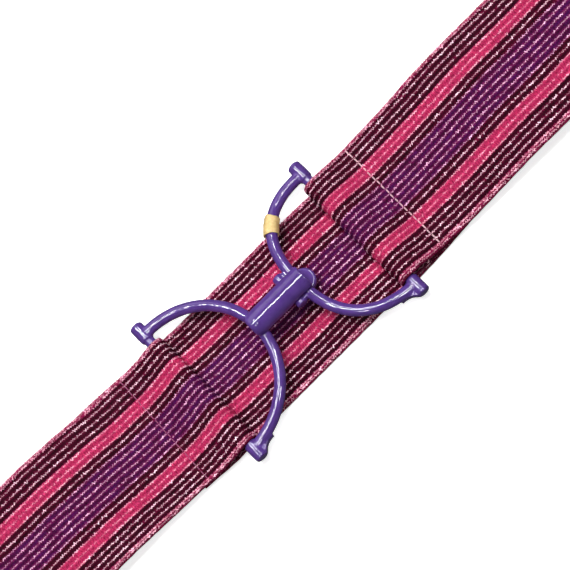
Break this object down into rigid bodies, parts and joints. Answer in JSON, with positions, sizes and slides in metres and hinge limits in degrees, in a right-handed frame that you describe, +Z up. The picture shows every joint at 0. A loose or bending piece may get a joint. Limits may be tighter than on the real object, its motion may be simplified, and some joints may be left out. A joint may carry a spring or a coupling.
{
  "type": "elastic belt",
  "caption": "Wide striped elastic belt, fastened into a loop and laid flat, with a two-piece interlocking metal clasp whose bars run through the folded and sewn ends.",
  "frame": {"origin": "on the surface that the belt lies on, under the middle of the clasp, at the centre of the belt's box", "axes": "+X along the belt from the barrel half towards the eye half, +Y across the belt, +Z up from the surface towards the clasp's face"},
  "size_m": [0.334, 0.0672, 0.0174],
  "materials": {
    "striped_elastic": "ribbed woven elastic in hot pink, dark maroon and purple stripes, with glittering pale metallic threads along the ribs",
    "purple_enamel": "glossy purple enamel on cast metal, with soft edges where the coat has flowed",
    "cream_wrap": "matt cream wrap of thin tape, slightly creased"
  },
  "bodies": {
    "root": {"elastic_band": "striped_elastic", "barrel_half": "purple_enamel", "eye_half": "purple_enamel", "arm_band": "cream_wrap"}
  },
  "joints": []
}
